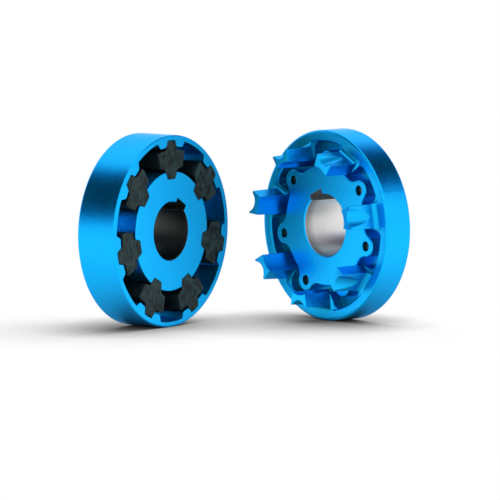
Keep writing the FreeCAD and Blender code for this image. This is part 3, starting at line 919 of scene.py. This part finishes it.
@dataclass(frozen=True)
class Studio:
    """A white floor with soft shadows, and a bright world with two dark patches for the metal to mirror.

    The floor's shadow is deepest near what stands on it, and its broad part looks towards shade_swing, leaning
    by shade_lean. floor_lit colours the light that the floor throws back on the coupling, floor_mirrored is how
    bright the metal mirrors it, and blueing keeps the dark patches' fringes blue.
    """

    pocket_shaft: Shaft
    claw_shaft: Shaft
    floor_radius: float = 9.0
    floor_corners: int = 96
    floor_lit: float = 0.75
    floor_mirrored: float = 1.3
    shade_samples: int = 16
    shade_reach: float = 0.15
    shade_depth: float = 1.25
    shade_lean: float = 62.0
    shade_swing: float = 93.0
    contact_reach: float = 0.06
    contact_depth: float = 0.85
    shade_gain: float = 1.1
    mirrored_reach: float = 0.2
    mirrored_depth: float = 1.4
    world_level: float = 1.25
    blueing: float = 0.62
    left_patch: DarkPatch = DarkPatch(azimuth=135, elevation=36.7, core=20, reach=34.5)
    right_patch: DarkPatch = DarkPatch(azimuth=-30.5, elevation=50.7, core=14, reach=36)

    def build(self) -> None:
        """Make the floor, the world and the cards."""
        self._floor()
        self._world()
        Card("pocket_side_card", self.pocket_shaft, ahead=0.008, right=0.011, up=0.0,
             level=0.93, rise_right=-4.9, rise_up=-1.3, least=0.55, most=1.2).hang()
        Card("claw_side_card", self.claw_shaft, ahead=0.035, right=-0.042, up=-0.005,
             level=0.80, rise_right=10.5, rise_up=-7.0, least=0.16, most=1.3).hang()
        bpy.context.scene.view_settings.view_transform = "Standard"

    def _floor(self) -> None:
        """Lay a round floor that looks white to the camera and keeps its shadows."""
        shape = bmesh.new()
        bmesh.ops.create_circle(shape, cap_ends=True, segments=self.floor_corners, radius=self.floor_radius)
        floor = placed("studio_floor", shape)
        material, graph = blank("studio_floor")
        path = graph.node("ShaderNodeLightPath")
        lit = graph.node("ShaderNodeBsdfDiffuse", {}, {"Color": (self.floor_lit,) * 3})
        dim = graph.hollows(self.mirrored_reach, self.shade_samples) ** self.mirrored_depth
        mirrored = graph.node("ShaderNodeEmission", {},
                              {"Color": graph.join(dim, dim, dim), "Strength": self.floor_mirrored})
        shade = self._shade(graph)
        seen = graph.node("ShaderNodeEmission", {}, {"Color": graph.join(shade, shade, shade), "Strength": 1.0})
        real = graph.node("ShaderNodeMixShader", {}, [path.out("Is Glossy Ray"), lit, mirrored])
        mixed = graph.node("ShaderNodeMixShader", {}, [path.out("Is Camera Ray"), real, seen])
        graph.node("ShaderNodeOutputMaterial", {}, [mixed])
        dress(floor, material)

    def _shade(self, graph: Graph) -> Signal:
        """Work out the shadow on the floor.

        Args:
            graph: the floor's node graph.

        Returns:
            1 on the open floor, towards 0 under the coupling.
        """
        lean, swing = math.radians(self.shade_lean), math.radians(self.shade_swing)
        away = Vector((math.sin(swing), math.cos(swing), 0)) * math.sin(lean)
        broad = graph.hollows(self.shade_reach, self.shade_samples, away + UP * math.cos(lean))
        contact = graph.hollows(self.contact_reach, self.shade_samples)
        return (contact ** self.contact_depth * broad ** self.shade_depth * self.shade_gain).least(1.0)

    def _world(self) -> None:
        """Light from all round but for the dark patches, and show plain white to the camera."""
        world = bpy.data.worlds.new("studio_world")
        bpy.context.scene.world = world
        world.use_nodes = True
        graph = Graph(world.node_tree)
        path = graph.node("ShaderNodeLightPath")
        way = graph.node("ShaderNodeTexCoord").out("Generated")
        level = (1.0 - self.left_patch.mask(graph, way)) * (1.0 - self.right_patch.mask(graph, way))
        tone = graph.join(level, level, level ** self.blueing)
        light = graph.node("ShaderNodeBackground", {}, {"Color": tone, "Strength": self.world_level})
        white = graph.node("ShaderNodeBackground", {}, {"Color": WHITE, "Strength": 1.0})
        mixed = graph.node("ShaderNodeMixShader", {}, [path.out("Is Camera Ray"), light, white])
        graph.node("ShaderNodeOutputWorld", {}, [mixed])


def main() -> None:
    """Build the coupling and the studio around it."""
    logging.basicConfig(level=logging.INFO, format="%(name)s: %(message)s")
    steel = BlackenedSteel().make()
    pocket_half = PocketHalf()
    pocket_half.build(steel)
    claw_half = ClawHalf()
    claw_half.build(steel)
    Studio(pocket_half.shaft, claw_half.shaft).build()
    PhotoCamera().place(pocket_half.shaft)


if __name__ == "__main__":
    main()
